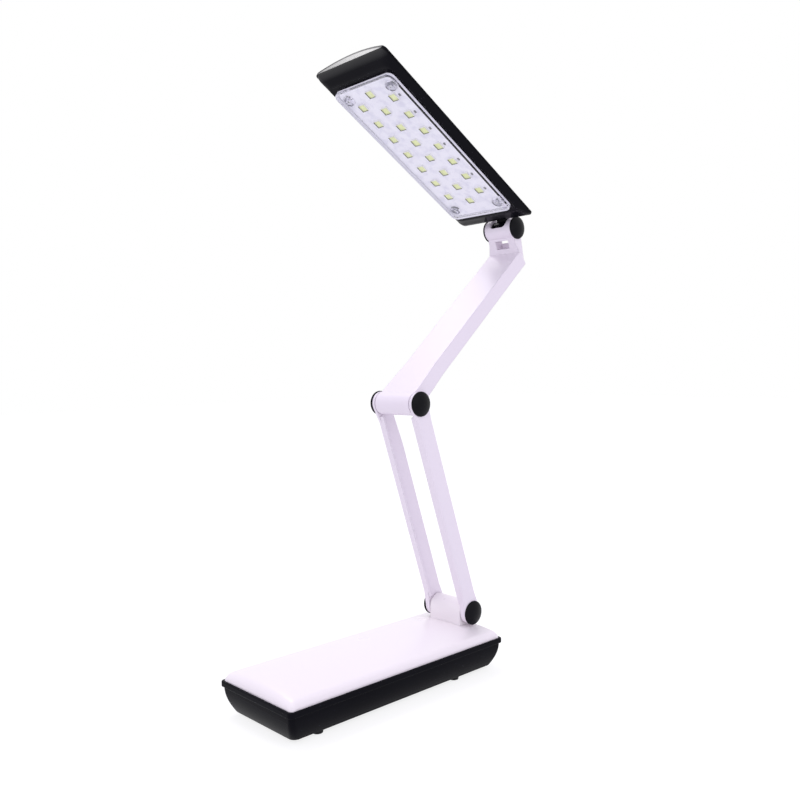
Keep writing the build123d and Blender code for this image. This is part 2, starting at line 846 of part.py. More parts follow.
# Knuckle inside the fork and the bridge from it to the housing's hinge end
bridge_end = head_start + head_end_wall
bridge = make_face(
    Polyline(
        (0, 0),
        turned((0, 0), -head_bridge_angle, head_bridge_reach, 0),
        (bridge_end, -head_bridge_low),
        (bridge_end, -head_bridge_high),
        turned((0, 0), -(head_bridge_angle + head_bridge_back_angle) / 2, head_bridge_reach * 1.2, 0),
        turned((0, 0), -head_bridge_back_angle, head_bridge_reach, 0),
        (0, -head_knuckle_radius),
        close=True,
    )
)
head_housing = head_middle * housing + rod(head_knuckle_radius, -head_knuckle_half, head_knuckle_half)
head_housing += slab(bridge, -head_bridge_width / 2, head_bridge_width / 2)
head_housing -= rod(pin_radius + pin_running, -head_knuckle_half, head_knuckle_half)

# Arched head cover between the end walls, with tabs down inside the rim
cover_start = head_end_wall + head_cover_gap - half_head
cover_end = half_head - head_end_wall - head_cover_gap
tab_outer = throat[1] / 2 - head_cover_tab_inset
cover_space = arch_bar(half_chord, 0, cover_start, cover_end)
tab_space = plate(throat[0], throat[1], throat[2], rim_plane, rim_plane + head_cover_tab_depth)
inner_chord = half_chord - head_cover_edge
head_cover = cover_space - arch_bar(
    inner_chord, head_cover_wall, cover_start + head_cover_wall, cover_end - head_cover_wall
)
for place in (-half_head / 2, half_head / 2):
    tab = block(
        place - head_cover_tab,
        place + head_cover_tab,
        tab_outer - head_cover_wall,
        tab_outer,
        rim_plane - head_cover_wall,
        rim_plane + head_cover_tab_depth,
    )
    head_cover += both_sides(tab) & (cover_space + tab_space)
head_cover = head_middle * head_cover

# Clear lens: thick-faced tray on the housing, with hollow posts that stand on the board
lens_top = seat_plane + lens_height
lens = plate(lens_length, lens_width, lens_corner, seat_plane, lens_top)
lens = chamfer(lens.edges().group_by(Axis.Z)[-1], lens_edge)
lens -= plate(opening_long, opening_side, lens_inner_corner, seat_plane, lens_top - lens_face)
board_face = board_back + led_board_thickness
bore_top = lens_top - lens_face
post_length = bore_top - board_face
post_middle = Pos(0, 0, board_face + post_length / 2)
for place in lens_posts:
    lens += place * post_middle * Cylinder(lens_post_radius, post_length)
for place in lens_posts:
    lens -= place * post_middle * Cylinder(lens_screw_shank + thread_clearance, post_length)
lens = head_middle * lens

# Screws that hold the lens from behind
shank_end = bore_top - lens_screw_spare
head_low = ledge_back - lens_screw_head_height
lens_screw = Pos(0, 0, (head_low + ledge_back) / 2) * Cylinder(lens_screw_head, lens_screw_head_height)
lens_screw += Pos(0, 0, (ledge_back + shank_end) / 2) * Cylinder(lens_screw_shank, shank_end - ledge_back)
lens_screw -= Pos(0, 0, head_low) * Box(
    lens_screw_head * 1.2, lens_screw_head * 0.28, lens_screw_head_height
)
lens_screw -= Pos(0, 0, head_low) * Box(
    lens_screw_head * 0.28, lens_screw_head * 1.2, lens_screw_head_height
)
lens_screws = head_middle * (Part() + [place * lens_screw for place in lens_posts])

# LED board with its staggered columns of packages, phosphor windows and resistors
led_board = plate(
    opening_long - 2 * led_board_gap,
    opening_side - 2 * led_board_gap,
    lens_inner_corner - led_board_gap,
    board_back,
    board_face,
)
for place in lens_posts:
    led_board -= place * Cylinder(lens_screw_shank + thread_clearance, 4 * head_depth)
led_board = head_middle * led_board
led_places = []
resistor_places = []
for column, count in ((-1, led_side_count), (0, led_middle_count), (1, led_side_count)):
    for index in range(count):
        reach = led_shift + (index - (count - 1) / 2) * led_pitch
        led_places.append(Pos(reach, column * led_column, 0))
        if column == -1:
            resistor_places.append(Pos(reach, column * led_column - resistor_offset, 0))
led_top = board_face + led_height
led_body = block(-led_size / 2, led_size / 2, -led_size / 2, led_size / 2, board_face, led_top)
led_cup = plate(led_window, led_window, led_window_corner, led_top - led_window_depth, led_top)
leds = head_middle * (Part() + [place * (led_body - led_cup) for place in led_places])
led_windows = head_middle * (Part() + [place * led_cup for place in led_places])
resistor = block(
    -resistor_length / 2,
    resistor_length / 2,
    -resistor_width / 2,
    resistor_width / 2,
    board_face,
    board_face + resistor_height,
)
resistors = head_middle * (Part() + [place * resistor for place in resistor_places])

# Every piece under its own name, in place
in_frame = Pos((base_length / 2 - head_pivot[0] - cap_radius) / 2, 0, 0)
lamp = {
    "base_tub": base_tub,
    "feet": feet,
    "base_cover": base_cover,
    "base_screws": base_screws,
    "battery": battery,
    "control_board": control_board,
    "power_switch": power_switch,
    "power_button": power_button,
    "power_inlet": power_inlet,
    "far_rail": lower_place * far_rail,
    "near_rail": lower_place * near_rail,
    "wire_strip": lower_place * wire_strip,
    "arm_lead": lower_place * arm_lead,
    "base_hinge_pin": lower_place * hinge_pin(rail_outer),
    "base_hinge_washers": lower_place * hinge_washers(rail_inner),
    "base_hinge_caps": lower_place * hinge_caps(rail_outer),
    "elbow_pin": lower_place * at_elbow * hinge_pin(rail_outer),
    "elbow_washers": lower_place * at_elbow * hinge_washers(elbow_ear_inner),
    "elbow_caps": lower_place * at_elbow * hinge_caps(rail_outer),
    "upper_arm_shell": upper_place * upper_arm,
    "upper_arm_plate": upper_place * arm_plate,
    "plate_screws": upper_place * plate_screws,
    "head_hinge_pin": upper_place * at_neck * hinge_pin(fork_half),
    "head_hinge_washers": upper_place * at_neck * hinge_washers(fork_inner),
    "head_hinge_caps": upper_place * at_neck * hinge_caps(fork_half),
    "head_housing": head_place * head_housing,
    "head_cover": head_place * head_cover,
    "lens": head_place * lens,
    "lens_screws": head_place * lens_screws,
    "led_board": head_place * led_board,
    "leds": head_place * leds,
    "led_windows": head_place * led_windows,
    "resistors": head_place * resistors,
}
for name, shape in lamp.items():
    export_step(in_frame * shape, f"parts/{name}.step")
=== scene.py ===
import json
from math import cos, radians, sin

import bpy
from mathutils import Matrix, Vector

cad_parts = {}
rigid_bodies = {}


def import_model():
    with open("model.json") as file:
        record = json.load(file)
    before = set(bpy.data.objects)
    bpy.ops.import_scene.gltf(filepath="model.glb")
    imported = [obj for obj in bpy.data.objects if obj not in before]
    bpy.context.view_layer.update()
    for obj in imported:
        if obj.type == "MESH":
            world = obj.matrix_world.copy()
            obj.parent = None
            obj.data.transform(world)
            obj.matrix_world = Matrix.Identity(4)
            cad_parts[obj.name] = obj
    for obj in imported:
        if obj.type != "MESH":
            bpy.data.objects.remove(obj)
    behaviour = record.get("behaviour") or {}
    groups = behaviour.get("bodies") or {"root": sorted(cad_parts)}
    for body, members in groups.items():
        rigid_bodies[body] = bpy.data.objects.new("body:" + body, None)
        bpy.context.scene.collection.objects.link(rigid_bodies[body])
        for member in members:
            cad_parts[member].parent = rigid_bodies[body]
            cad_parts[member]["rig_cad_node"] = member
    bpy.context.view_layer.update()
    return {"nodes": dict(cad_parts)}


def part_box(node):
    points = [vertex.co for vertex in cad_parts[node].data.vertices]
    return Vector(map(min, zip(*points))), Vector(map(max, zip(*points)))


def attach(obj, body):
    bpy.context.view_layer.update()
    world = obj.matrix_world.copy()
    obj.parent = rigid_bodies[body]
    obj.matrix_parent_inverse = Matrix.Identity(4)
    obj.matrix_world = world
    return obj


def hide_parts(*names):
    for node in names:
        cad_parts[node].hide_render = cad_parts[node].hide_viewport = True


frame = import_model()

nodes = frame["nodes"]


# Base tub: a deep tray of polished black plastic, moulded in one shot with a square rim
# that the white lid drops into. Handling leaves a faint haze, and its edges are rubbed.
def new_finish(name):
    """Empty material with its shader, output and object coordinates."""
    finish = bpy.data.materials.new(name)
    finish.use_nodes = True
    tree = finish.node_tree
    tree.nodes.clear()
    output = tree.nodes.new("ShaderNodeOutputMaterial")
    shader = tree.nodes.new("ShaderNodeBsdfPrincipled")
    place = tree.nodes.new("ShaderNodeTexCoord")
    tree.links.new(shader.outputs["BSDF"], output.inputs["Surface"])
    return finish, tree, shader, place


def cloud(tree, place, size, detail=3.0):
    """Noise whose blotches are about a given size in metres."""
    noise = tree.nodes.new("ShaderNodeTexNoise")
    noise.inputs["Scale"].default_value = 1.0 / size
    noise.inputs["Detail"].default_value = detail
    tree.links.new(place.outputs["Object"], noise.inputs["Vector"])
    return noise.outputs["Fac"]


def span(tree, value, low, high, start=0.3, stop=0.7):
    """Spread a value that runs from start to stop between two limits."""
    ranged = tree.nodes.new("ShaderNodeMapRange")
    ranged.inputs["From Min"].default_value = start
    ranged.inputs["From Max"].default_value = stop
    ranged.inputs["To Min"].default_value = low
    ranged.inputs["To Max"].default_value = high
    tree.links.new(value, ranged.inputs["Value"])
    return ranged.outputs["Result"]


def tint(tree, value, first, second):
    """Colour that goes from the first to the second with a value."""
    mix = tree.nodes.new("ShaderNodeMix")
    mix.data_type = "RGBA"
    tree.links.new(value, mix.inputs["Factor"])
    for socket, colour in (("A", first), ("B", second)):
        if isinstance(colour, tuple):
            mix.inputs[socket].default_value = (*colour, 1.0)
        else:
            tree.links.new(colour, mix.inputs[socket])
    return mix.outputs["Result"]


def eased_edges(tree, radius):
    """Normal that rounds a moulding's sharp edges."""
    sample_count = 6
    bevel = tree.nodes.new("ShaderNodeBevel")
    bevel.samples = sample_count
    bevel.inputs["Radius"].default_value = radius
    return bevel.outputs["Normal"]


def edge_rub(tree, eased):
    """Share of wear along the edges that the eased normal rounds."""
    untouched = 0.97
    well_rubbed = 0.75
    facing = tree.nodes.new("ShaderNodeNewGeometry")
    turn = tree.nodes.new("ShaderNodeVectorMath")
    turn.operation = "DOT_PRODUCT"
    tree.links.new(eased, turn.inputs[0])
    tree.links.new(facing.outputs["Normal"], turn.inputs[1])
    return span(tree, turn.outputs["Value"], 0.0, 1.0, untouched, well_rubbed)


def grain(tree, shader, height, depth, normal=None):
    """Fine relief on the shader's normal."""
    bump = tree.nodes.new("ShaderNodeBump")
    bump.inputs["Distance"].default_value = depth
    tree.links.new(height, bump.inputs["Height"])
    if normal is not None:
        tree.links.new(normal, bump.inputs["Normal"])
    tree.links.new(bump.outputs["Normal"], shader.inputs["Normal"])


def moulding(name, colour, drifted, rubbed, gloss, haze, shine, grain_size, grain_depth, edge):
    """Moulded plastic: drifting tone, rubbed edges, uneven polish, fine grain, eased edges."""
    drift_size = 0.05
    polish_size = 0.03
    soft_detail = 1.0
    grain_detail = 2.0
    broad = dict(start=0.2, stop=0.8)
    finish, tree, shader, place = new_finish(name)
    eased = eased_edges(tree, edge)
    drift = span(tree, cloud(tree, place, drift_size, soft_detail), 0.0, 1.0, **broad)
    tone = tint(tree, drift, colour, drifted)
    tree.links.new(tint(tree, edge_rub(tree, eased), tone, rubbed), shader.inputs["Base Color"])
    polish = span(tree, cloud(tree, place, polish_size, soft_detail), gloss, haze, **broad)
    tree.links.new(polish, shader.inputs["Roughness"])
    shader.inputs["Specular IOR Level"].default_value = shine
    grain(tree, shader, cloud(tree, place, grain_size, grain_detail), grain_depth, eased)
    return finish


def dress(node, finish):
    """Give a solid its finish."""
    nodes[node].data.materials.clear()
    nodes[node].data.materials.append(finish)


polished_black = dict(
    colour=(0.0045, 0.0045, 0.0065), drifted=(0.006, 0.006, 0.0085), rubbed=(0.008, 0.008, 0.0105),
    gloss=0.22, haze=0.28, grain_size=0.0006, grain_depth=0.000004,
)
dress("base_tub", moulding("tub_black", **polished_black, shine=0.03, edge=0.0006))


# Feet: four short stubs of soft black rubber pressed into the tub's floor. The rubber is
# dull, a little dusty and slightly lumpy from its mould.
foot_rubber = moulding(
    "foot_rubber", colour=(0.01, 0.01, 0.011), drifted=(0.02, 0.02, 0.02), rubbed=(0.04, 0.04, 0.04),
    gloss=0.6, haze=0.8, shine=0.2, grain_size=0.0004, grain_depth=0.00003, edge=0.0003,
)
dress("feet", foot_rubber)


# Base cover: a crowned lid of glossy white plastic with rolled edges, moulded in one
# piece with the hinge block and held from below by screws.
gloss_white = dict(gloss=0.27, haze=0.31, shine=0.5, grain_size=0.0008, grain_depth=0.000003)
cover_white = moulding(
    "cover_white", colour=(0.905, 0.85, 0.872), drifted=(0.898, 0.842, 0.866), rubbed=(0.87, 0.82, 0.85),
    **gloss_white, edge=0.0012,
)
dress("base_cover", cover_white)


# Screws: zinc-plated steel with cross slots, four under the base, two in the upper
# arm's back plate and four behind the lens.
def plated_steel(name, size):
    """Bright plated steel with fine turning marks and a dull bloom of a given size."""
    bright = (0.62, 0.62, 0.64)
    bloomed = (0.5, 0.5, 0.53)
    gloss = 0.22
    haze = 0.4
    polish_size = size / 4
    mark_size = size / 10
    mark_depth = 0.00001
    finish, tree, shader, place = new_finish(name)
    bloom = span(tree, cloud(tree, place, size), 0.0, 1.0)
    tree.links.new(tint(tree, bloom, bright, bloomed), shader.inputs["Base Color"])
    tree.links.new(span(tree, cloud(tree, place, polish_size), gloss, haze), shader.inputs["Roughness"])
    shader.inputs["Metallic"].default_value = 1.0
    grain(tree, shader, cloud(tree, place, mark_size), mark_depth)
    return finish


screw_steel = plated_steel("screw_steel", size=0.002)
dress("base_screws", screw_steel)


# Battery: a flat pack in a dull blue heat-shrunk sleeve, laid in the tub's cradle.
# The sleeve is wrinkled where it shrank and paler along its folds.
battery_sleeve = moulding(
    "battery_sleeve", colour=(0.1, 0.14, 0.28), drifted=(0.13, 0.17, 0.31), rubbed=(0.2, 0.24, 0.38),
    gloss=0.4, haze=0.55, shine=0.4, grain_size=0.003, grain_depth=0.0001, edge=0.0008,
)
dress("battery", battery_sleeve)


# Control board: green fibreglass on four posts behind the hinge-end wall. It carries
# the switch and the charging socket, under a semi-gloss solder mask.
board_green = moulding(
    "board_green", colour=(0.03, 0.16, 0.06), drifted=(0.04, 0.2, 0.08), rubbed=(0.25, 0.27, 0.15),
    gloss=0.3, haze=0.5, shine=0.5, grain_size=0.0009, grain_depth=0.00003, edge=0.0002,
)
dress("control_board", board_green)


# Switch, push button and charging socket: black plastic fittings with a fine spark
# finish. The button's cap comes out through the tub's wall and is rubbed smooth.
fitting_satin = moulding(
    "fitting_satin", colour=(0.009, 0.009, 0.01), drifted=(0.013, 0.013, 0.014), rubbed=(0.03, 0.03, 0.03),
    gloss=0.42, haze=0.55, shine=0.2, grain_size=0.0003, grain_depth=0.00002, edge=0.0003,
)
for fitting in ("power_switch", "power_button", "power_inlet"):
    dress(fitting, fitting_satin)


# Lower arm: two white plastic rails, with a flat strip that closes the wire groove in
# the back of the far one. They share the lid's glossy finish.
arm_tone = dict(colour=(0.858, 0.79, 0.862), drifted=(0.85, 0.782, 0.857), rubbed=(0.83, 0.77, 0.845))
rail_white = moulding("rail_white", **arm_tone, **gloss_white, edge=0.0007)
for rail in ("far_rail", "near_rail", "wire_strip"):
    dress(rail, rail_white)


# Lead: red insulated wire in the far rail's groove, closed in by the strip. Its
# insulation is soft and slightly dusty.
lead_red = moulding(
    "lead_red", colour=(0.35, 0.012, 0.012), drifted=(0.28, 0.014, 0.014), rubbed=(0.4, 0.05, 0.05),
    gloss=0.4, haze=0.55, shine=0.4, grain_size=0.0008, grain_depth=0.00002, edge=0.0001,
)
dress("arm_lead", lead_red)


# Hinge pins and friction washers: one steel pin through each hinge, with a nylon
# washer on each side of its knuckle that holds the arm where it is put.
pin_steel = plated_steel("pin_steel", size=0.004)
washer_nylon = moulding(
    "washer_nylon", colour=(0.7, 0.69, 0.64), drifted=(0.66, 0.65, 0.6), rubbed=(0.5, 0.49, 0.46),
    gloss=0.45, haze=0.6, shine=0.4, grain_size=0.0005, grain_depth=0.00002, edge=0.0001,
)
for hinge in ("base_hinge", "elbow", "head_hinge"):
    dress(hinge + "_pin", pin_steel)
    dress(hinge + "_washers", washer_nylon)


# Hinge caps: domed black buttons pressed over the pins' ends, with a satin finish that
# handling has polished a little.
cap_satin = moulding(
    "cap_satin", colour=(0.0045, 0.0045, 0.006), drifted=(0.006, 0.006, 0.008), rubbed=(0.012, 0.012, 0.014),
    gloss=0.32, haze=0.42, shine=0.08, grain_size=0.0005, grain_depth=0.000008, edge=0.0005,
)
for hinge in ("base_hinge", "elbow", "head_hinge"):
    dress(hinge + "_caps", cap_satin)


# Upper arm: a hollow white moulding that nests between the rails, closed at its back
# by a flat plate with two screws.
arm_white = moulding("arm_white", **arm_tone, **gloss_white, edge=0.0007)
dress("upper_arm_shell", arm_white)
dress("upper_arm_plate", arm_white)
dress("plate_screws", screw_steel)


# Head housing: a shallow black bowl with arched end walls. Its free end is polished more
# brightly, up to the arch's rolled edge, and the recess for the LED board is coloured white as a painted
# reflection.
head_angle = radians(149.1)
head_along = Vector((cos(head_angle), 0.0, sin(head_angle)))
head_across = Vector((0.0, 1.0, 0.0))
lens_facing = Vector((-sin(head_angle), 0.0, cos(head_angle)))
bowl_shine = 0.05
end_coat = 0.85
coat_haze = 0.25
end_fade = 0.006
end_slice = 0.0005
head_arch = 0.0055
rolled_edge = 0.0014
edge_blend = 0.3
recess_painted_reflection = (0.8, 0.8, 0.86)
recess_depth = 0.0005
recess_gap = 0.0003
recess_margin = 0.00003


def head_level(point):
    """How far a point lies along the way that the lens faces."""
    return point.dot(lens_facing)


def combine(tree, operation, first, second=0.0):
    """Value that comes from one or two values or numbers by an operation."""
    worked = tree.nodes.new("ShaderNodeMath")
    worked.operation = operation
    for socket, value in zip(worked.inputs, (first, second)):
        if isinstance(value, float):
            socket.default_value = value
        else:
            tree.links.new(value, socket)
    return worked.outputs["Value"]


def reach(tree, place, direction, start=0.0):
    """How far the surface lies from a start along one of the head's directions."""
    dot = tree.nodes.new("ShaderNodeVectorMath")
    dot.operation = "DOT_PRODUCT"
    dot.inputs[1].default_value = direction
    tree.links.new(place.outputs["Object"], dot.inputs[0])
    return combine(tree, "SUBTRACT", dot.outputs["Value"], start)


def beyond(tree, value, limit):
    """Share that turns to 1 where a value passes a limit."""
    return combine(tree, "GREATER_THAN", value, limit)


head_black = moulding("head_black", **polished_black, shine=bowl_shine, edge=0.0005)
tree = head_black.node_tree
shader = tree.nodes["Principled BSDF"]
place = tree.nodes["Texture Coordinate"]
housing_corners = [corner.co for corner in nodes["head_housing"].data.vertices]
end_plane = max(corner.dot(head_along) for corner in housing_corners)
end_corners = [corner for corner in housing_corners if corner.dot(head_along) > end_plane - end_slice]
arch_top = min(head_level(corner) for corner in end_corners)
half_chord = max(corner.y for corner in end_corners)
arch_radius = (half_chord ** 2 + head_arch ** 2) / (2 * head_arch)
edge_start = arch_radius - (1 + edge_blend) * rolled_edge
edge_stop = arch_radius - (1 - edge_blend) * rolled_edge
aside = combine(tree, "POWER", reach(tree, place, head_across), 2.0)
rise = combine(tree, "POWER", reach(tree, place, lens_facing, arch_top + arch_radius), 2.0)
from_centre = combine(tree, "SQRT", combine(tree, "ADD", aside, rise))
inside_edge = span(tree, from_centre, 1.0, 0.0, edge_start, edge_stop)
polish = span(tree, reach(tree, place, head_along, end_plane), 0.0, end_coat, -end_fade, 0.0)
tree.links.new(combine(tree, "MULTIPLY", polish, inside_edge), shader.inputs["Coat Weight"])
shader.inputs["Coat Roughness"].default_value = coat_haze

board_low, board_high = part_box("led_board")
board_middle = (board_low + board_high) / 2
board_along = board_middle.dot(head_along)
board_corners = [corner.co for corner in nodes["led_board"].data.vertices]
board_face = max(head_level(corner) for corner in board_corners)
half_board = max(corner.dot(head_along) for corner in board_corners) - board_along
side_limit = board_high.y + recess_gap + recess_margin
end_limit = half_board + recess_gap + recess_margin
outside = beyond(tree, combine(tree, "ABSOLUTE", reach(tree, place, head_across)), side_limit)
from_middle = combine(tree, "ABSOLUTE", reach(tree, place, head_along, board_along))
past_ends = beyond(tree, from_middle, end_limit)
above = beyond(tree, reach(tree, place, lens_facing), board_face + recess_depth - recess_margin)
not_recess = combine(tree, "MAXIMUM", combine(tree, "MAXIMUM", outside, past_ends), above)
bowl_black = shader.inputs["Base Color"].links[0].from_socket
# The recess round the LED board is coloured white as a painted reflection.
tree.links.new(tint(tree, not_recess, recess_painted_reflection, bowl_black), shader.inputs["Base Color"])
dress("head_housing", head_black)


# Head cover: an arched white lid between the housing's end walls, clipped in by tabs
# and finished like the arms.
dress("head_cover", moulding("head_white", **arm_tone, **gloss_white, edge=0.0007))


# Lens: a clear acrylic tray over the LED board, with four bosses that the screws bite into from behind.
# The bosses' sides are coloured dark with pale streaks, and their ends pale with dark blotches: painted
# shade and painted highlights in place of what clear bosses show. Its faces are polished, the foot of
# its wall is ground white, and its far edge is coloured white as a painted reflection. A hair of glue
# keeps it off the housing and the board.
lens_height = 0.0032
glue_gap = 0.00005
level_margin = 0.00002
lens_edge = 0.0005
lens_ior = 1.49
smear_size = 0.01
smear_haze = 0.03
ripple_size = 0.004
ripple_depth = 0.000004
painted_boss_blotch_size = 0.004
lying = 0.5
smooth_angle = radians(30.0)
weld = 0.000001


def worked_copy(node, name):
    """Merged copy of a solid, free of its body, for further work."""
    bpy.ops.object.select_all(action="DESELECT")
    nodes[node].select_set(True)
    bpy.context.view_layer.objects.active = nodes[node]
    bpy.ops.object.duplicate()
    piece = bpy.context.object
    piece.name = name
    del piece["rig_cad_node"]
    bpy.ops.object.parent_clear(type="CLEAR_KEEP_TRANSFORM")
    bpy.ops.mesh.customdata_custom_splitnormals_clear()
    bpy.ops.object.mode_set(mode="EDIT")
    bpy.ops.mesh.select_all(action="SELECT")
    bpy.ops.mesh.remove_doubles(threshold=weld)
    bpy.ops.mesh.select_all(action="DESELECT")
    bpy.ops.object.mode_set(mode="OBJECT")
    return piece


def blotches(finish, size, colour, start, stop):
    """Lay blotches of a colour over a finish."""
    blotch_detail = 2.0
    tree = finish.node_tree
    shader = tree.nodes["Principled BSDF"]
    below = shader.inputs["Base Color"].links[0].from_socket
    blotch = cloud(tree, tree.nodes["Texture Coordinate"], size, blotch_detail)
    share = span(tree, blotch, 0.0, 1.0, start, stop)
    tree.links.new(tint(tree, share, below, colour), shader.inputs["Base Color"])


lens_finish, tree, shader, place = new_finish("lens_clear")
shader.inputs["Base Color"].default_value = (0.98, 0.98, 1.0, 1.0)
shader.inputs["IOR"].default_value = lens_ior
shader.inputs["Transmission Weight"].default_value = 1.0
tree.links.new(span(tree, cloud(tree, place, smear_size), 0.0, smear_haze), shader.inputs["Roughness"])
grain(tree, shader, cloud(tree, place, ripple_size), ripple_depth)
output = tree.nodes["Material Output"]
path = tree.nodes.new("ShaderNodeLightPath")
lit = tree.nodes.new("ShaderNodeMath")
lit.operation = "MAXIMUM"
through = tree.nodes.new("ShaderNodeBsdfTransparent")
pane = tree.nodes.new("ShaderNodeMixShader")
tree.links.new(path.outputs["Is Shadow Ray"], lit.inputs[0])
tree.links.new(path.outputs["Is Diffuse Ray"], lit.inputs[1])
tree.links.new(lit.outputs["Value"], pane.inputs["Fac"])
tree.links.new(shader.outputs["BSDF"], pane.inputs[1])
tree.links.new(through.outputs["BSDF"], pane.inputs[2])
tree.links.new(pane.outputs["Shader"], output.inputs["Surface"])
# White ground finish for the wall's foot, also laid on the far edge as a painted reflection.
ground_foot_and_painted_reflection = moulding(
    "ground_foot_and_painted_reflection", colour=(0.84, 0.84, 0.88), drifted=(0.78, 0.78, 0.83), rubbed=(0.8, 0.8, 0.85),
    gloss=0.6, haze=0.8, shine=0.3, grain_size=0.0005, grain_depth=0.00002, edge=0.0001,
)
# Dark boss sides with pale streaks and pale edges: painted shade and painted highlights.
boss_side_painted_shade_and_glints = moulding(
    "boss_side_painted_shade_and_glints", colour=(0.06, 0.06, 0.08), drifted=(0.1, 0.1, 0.13), rubbed=(0.3, 0.3, 0.35),
    gloss=0.25, haze=0.4, shine=0.5, grain_size=0.0005, grain_depth=0.00002, edge=0.0001,
)
blotches(boss_side_painted_shade_and_glints, size=painted_boss_blotch_size, colour=(0.92, 0.91, 0.98), start=0.47, stop=0.53)
# Pale boss ends with dark blotches: painted light and painted shade.
boss_end_painted_light_and_shade = moulding(
    "boss_end_painted_light_and_shade", colour=(0.84, 0.83, 0.92), drifted=(0.88, 0.87, 0.95), rubbed=(0.8, 0.8, 0.86),
    gloss=0.5, haze=0.7, shine=0.3, grain_size=0.0005, grain_depth=0.00002, edge=0.0001,
)
blotches(boss_end_painted_light_and_shade, size=painted_boss_blotch_size, colour=(0.3, 0.3, 0.36), start=0.5, stop=0.6)

lens_tray = worked_copy("lens", "lens_tray")
lens_tray.data.materials.clear()
lens_tray.data.materials.append(lens_finish)
lens_tray.data.materials.append(ground_foot_and_painted_reflection)
lens_tray.data.materials.append(boss_side_painted_shade_and_glints)
lens_tray.data.materials.append(boss_end_painted_light_and_shade)
ground_and_reflection_slot, side_slot, end_slot = 1, 2, 3
levels = [head_level(corner.co) for corner in lens_tray.data.vertices]
wall_foot = max(levels) - lens_height
boss_foot = min(levels)
far_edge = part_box("lens")[1].y - lens_edge
for face in lens_tray.data.polygons:
    upright = abs(face.normal.dot(lens_facing)) < lying
    on_boss = min(levels[corner] for corner in face.vertices) < boss_foot + level_margin
    # The far edge's faces are coloured white as a painted reflection; the wall's foot is ground white.
    if face.center.y > far_edge or abs(head_level(face.center) - wall_foot) < level_margin:
        face.material_index = ground_and_reflection_slot
    elif on_boss:
        face.material_index = side_slot if upright else end_slot
for corner, level in zip(lens_tray.data.vertices, levels):
    corner.select = min(abs(level - wall_foot), abs(level - boss_foot)) < level_margin
bpy.ops.object.mode_set(mode="EDIT")
bpy.ops.transform.translate(value=glue_gap * lens_facing)
bpy.ops.object.mode_set(mode="OBJECT")
bpy.ops.object.shade_smooth_by_angle(angle=smooth_angle)
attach(lens_tray, "head")
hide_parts("lens")
dress("lens_screws", screw_steel)


# LED board: a white solder-masked board on a ledge in the housing. Pale grey blotches lie at
# random over the mask as painted shade.
mask_white = moulding(
    "mask_white", colour=(0.93, 0.925, 0.97), drifted=(0.9, 0.895, 0.95), rubbed=(0.8, 0.8, 0.86),
    gloss=0.35, haze=0.5, shine=0.4, grain_size=0.0015, grain_depth=0.00002, edge=0.0002,
)
shade_blotch_size = 0.006
# The grey blotches are painted shade.
blotches(mask_white, size=shade_blotch_size, colour=(0.76, 0.755, 0.85), start=0.45, stop=0.75)
dress("led_board", mask_white)


# LEDs: square white packages soldered on the board in three staggered columns. Each is a cup
# whose wall is coloured dark as painted shade, and a low pool of yellow-green resin lies in it.
led_size = 0.006
led_height = 0.0013
led_rim = 0.0001
cup_depth = 0.0011
resin_top = 0.0006
resin_rim = 0.0006
resin_dip = 0.00005
led_pitch = 0.01645
led_column = 0.0155
led_shift = 0.0034
led_columns = ((-1, 7), (0, 8), (1, 7))
board_spot = board_middle + (board_face - head_level(board_middle)) * lens_facing
head_turn = Matrix((head_along, head_across, lens_facing)).transposed().to_4x4()
on_board = Matrix.Translation(board_spot) @ head_turn


def chip_block(name, size, bottom, top):
    """Square block that stands on a level, left in edit mode with its top face selected."""
    bpy.ops.object.select_all(action="DESELECT")
    bpy.ops.mesh.primitive_cube_add(size=1.0, location=(0.0, 0.0, (bottom + top) / 2))
    chip = bpy.context.object
    chip.name = name
    chip.scale = (size, size, top - bottom)
    bpy.ops.object.transform_apply(location=True, rotation=False, scale=True)
    bpy.ops.object.mode_set(mode="EDIT")
    bpy.ops.mesh.select_mode(type="FACE")
    bpy.ops.mesh.select_all(action="DESELECT")
    bpy.ops.object.mode_set(mode="OBJECT")
    for face in chip.data.polygons:
        face.select = face.normal.z > lying
    bpy.ops.object.mode_set(mode="EDIT")
    return chip


def set_out(chip):
    """Copies of a chip at every LED's place on the board, joined as one piece."""
    bpy.ops.object.mode_set(mode="OBJECT")
    copies = []
    for column, count in led_columns:
        for index in range(count):
            along = led_shift + (index - (count - 1) / 2) * led_pitch
            copied = chip.copy()
            copied.data = chip.data.copy()
            copied.data.transform(on_board @ Matrix.Translation((along, column * led_column, 0.0)))
            bpy.context.scene.collection.objects.link(copied)
            copies.append(copied)
    bpy.data.objects.remove(chip)
    bpy.ops.object.select_all(action="DESELECT")
    for copied in copies:
        copied.select_set(True)
    bpy.context.view_layer.objects.active = copies[0]
    bpy.ops.object.join()
    return copies[0]


package_white = moulding(
    "package_white", colour=(0.86, 0.86, 0.84), drifted=(0.82, 0.82, 0.79), rubbed=(0.88, 0.88, 0.86),
    gloss=0.35, haze=0.5, shine=0.4, grain_size=0.001, grain_depth=0.00001, edge=0.0001,
)
